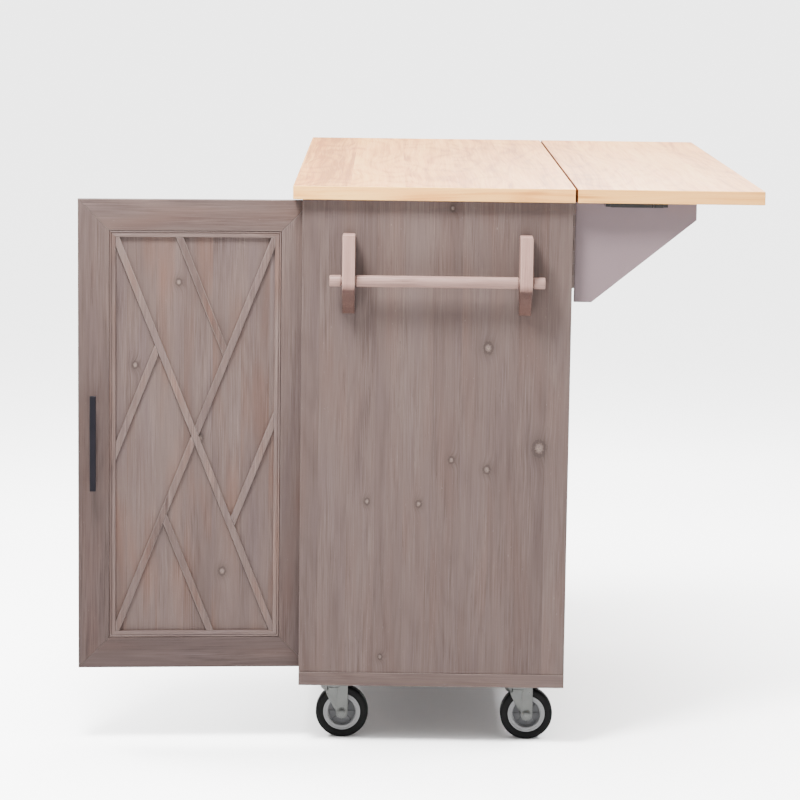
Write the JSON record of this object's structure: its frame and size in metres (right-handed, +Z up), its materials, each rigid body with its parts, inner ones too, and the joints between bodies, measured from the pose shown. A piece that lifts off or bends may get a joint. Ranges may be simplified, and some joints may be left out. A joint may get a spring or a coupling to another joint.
{
  "type": "kitchen island cart",
  "caption": "Rolling kitchen island with framed lattice doors, drawers, an end towel rail and a raised drop leaf on swing-out supports.",
  "frame": {"origin": "on the floor, at the bottom centre of the whole cart as it stands at rest", "axes": "+X along the cart towards the towel-rail end, +Y from the door side towards the drop leaf, +Z up"},
  "size_m": [1.28, 1.1014, 0.92],
  "materials": {
    "top_wood": "clear satin lacquer over pale pine",
    "stained_wood": "matt weathered grey-brown stain",
    "painted_board": "smooth satin grey paint",
    "drawer_wood": "bare sanded pine",
    "black_metal": "matt black powder coat",
    "zinc_steel": "bright zinc plate",
    "hinge_steel": "dark bronzed steel",
    "grey_plastic": "moulded grey nylon",
    "tyre_rubber": "matt black rubber",
    "black_plastic": "satin black"
  },
  "bodies": {
    "cabinet": {"worktop": "top_wood", "side_panel_right": "stained_wood", "side_panel_left": "stained_wood", "base_board": "stained_wood", "partition_right": "stained_wood", "partition_left": "stained_wood", "back_panel": "stained_wood", "top_stretchers": "stained_wood", "shelf_right": "stained_wood", "shelf_left": "stained_wood", "shelf_pins": "zinc_steel", "rail_bracket_front": "stained_wood", "rail_bracket_rear": "stained_wood", "towel_rail": "stained_wood", "leaf_hinges_fixed": "zinc_steel", "support_hinges_fixed": "hinge_steel", "door_hinge_arms": "zinc_steel", "drawer_runners": "drawer_wood", "caster_plates": "zinc_steel", "caster_screws": "zinc_steel"},
    "door_right": {"door_right_frame": "stained_wood", "door_right_panel": "stained_wood", "door_right_moulding": "stained_wood", "door_right_lattice": "stained_wood", "door_right_pull": "black_metal", "door_right_hinge_cups": "zinc_steel"},
    "door_left": {"door_left_frame": "stained_wood", "door_left_panel": "stained_wood", "door_left_moulding": "stained_wood", "door_left_lattice": "stained_wood", "door_left_pull": "black_metal", "door_left_hinge_cups": "zinc_steel"},
    "drawer_top": {"drawer_top_front": "stained_wood", "drawer_top_box": "drawer_wood", "drawer_top_pull": "black_metal"},
    "drawer_middle": {"drawer_middle_front": "stained_wood", "drawer_middle_box": "drawer_wood", "drawer_middle_pull": "black_metal"},
    "drawer_bottom": {"drawer_bottom_front": "stained_wood", "drawer_bottom_box": "drawer_wood", "drawer_bottom_pull": "black_metal"},
    "leaf": {"leaf": "top_wood", "leaf_hinges_moving": "zinc_steel", "leaf_stops": "black_plastic"},
    "support_right": {"support_right": "painted_board", "support_hinge_right": "hinge_steel"},
    "support_left": {"support_left": "painted_board", "support_hinge_left": "hinge_steel"},
    "caster_front_right": {"caster_front_right_fork": "zinc_steel"},
    "caster_front_right_wheel": {"caster_front_right_hub": "grey_plastic", "caster_front_right_tyre": "tyre_rubber"},
    "caster_front_left": {"caster_front_left_fork": "zinc_steel"},
    "caster_front_left_wheel": {"caster_front_left_hub": "grey_plastic", "caster_front_left_tyre": "tyre_rubber"},
    "caster_rear_right": {"caster_rear_right_fork": "zinc_steel"},
    "caster_rear_right_wheel": {"caster_rear_right_hub": "grey_plastic", "caster_rear_right_tyre": "tyre_rubber"},
    "caster_rear_left": {"caster_rear_left_fork": "zinc_steel"},
    "caster_rear_left_wheel": {"caster_rear_left_hub": "grey_plastic", "caster_rear_left_tyre": "tyre_rubber"}
  },
  "joints": [
    {"name": "door_right_hinge", "type": "hinge", "parent": "cabinet", "child": "door_right", "pos_m": [0.56219, -0.18183, 0.5097], "axis": [0, 0, 1], "range_deg": [-94.5, 10]},
    {"name": "door_left_hinge", "type": "hinge", "parent": "cabinet", "child": "door_left", "pos_m": [-0.59719, -0.18183, 0.5097], "axis": [0, 0, -1], "range_deg": [0, 104.5]},
    {"name": "drawer_top_slide", "type": "slide", "parent": "cabinet", "child": "drawer_top", "axis": [0, -1, 0], "range_m": [0, 0.29]},
    {"name": "drawer_middle_slide", "type": "slide", "parent": "cabinet", "child": "drawer_middle", "axis": [0, -1, 0], "range_m": [0, 0.29]},
    {"name": "drawer_bottom_slide", "type": "slide", "parent": "cabinet", "child": "drawer_bottom", "axis": [0, -1, 0], "range_m": [0, 0.29]},
    {"name": "leaf_hinge", "type": "hinge", "parent": "cabinet", "child": "leaf", "pos_m": [-0.0175, 0.24892, 0.8955], "axis": [1, 0, 0], "range_deg": [0, 5]},
    {"name": "support_right_swing", "type": "hinge", "parent": "cabinet", "child": "support_right", "pos_m": [0.5715, 0.24737, 0.8275], "axis": [0, 0, 1], "range_deg": [0, 90]},
    {"name": "support_left_swing", "type": "hinge", "parent": "cabinet", "child": "support_left", "pos_m": [-0.6065, 0.24737, 0.8275], "axis": [0, 0, -1], "range_deg": [0, 90]},
    {"name": "caster_front_right_swivel", "type": "hinge", "parent": "cabinet", "child": "caster_front_right", "pos_m": [0.53, -0.13283, 0.0907], "axis": [0, 0, 1], "continuous": true},
    {"name": "caster_front_right_roll", "type": "hinge", "parent": "caster_front_right", "child": "caster_front_right_wheel", "pos_m": [0.53, -0.11883, 0.0434], "axis": [1, 0, 0], "continuous": true},
    {"name": "caster_front_left_swivel", "type": "hinge", "parent": "cabinet", "child": "caster_front_left", "pos_m": [-0.565, -0.13283, 0.0907], "axis": [0, 0, 1], "continuous": true},
    {"name": "caster_front_left_roll", "type": "hinge", "parent": "caster_front_left", "child": "caster_front_left_wheel", "pos_m": [-0.565, -0.11883, 0.0434], "axis": [1, 0, 0], "continuous": true},
    {"name": "caster_rear_right_swivel", "type": "hinge", "parent": "cabinet", "child": "caster_rear_right", "pos_m": [0.53, 0.17317, 0.0907], "axis": [0, 0, 1], "continuous": true},
    {"name": "caster_rear_right_roll", "type": "hinge", "parent": "caster_rear_right", "child": "caster_rear_right_wheel", "pos_m": [0.53, 0.18717, 0.0434], "axis": [1, 0, 0], "continuous": true},
    {"name": "caster_rear_left_swivel", "type": "hinge", "parent": "cabinet", "child": "caster_rear_left", "pos_m": [-0.565, 0.17317, 0.0907], "axis": [0, 0, 1], "continuous": true},
    {"name": "caster_rear_left_roll", "type": "hinge", "parent": "caster_rear_left", "child": "caster_rear_left_wheel", "pos_m": [-0.565, 0.18717, 0.0434], "axis": [1, 0, 0], "continuous": true}
  ]
}
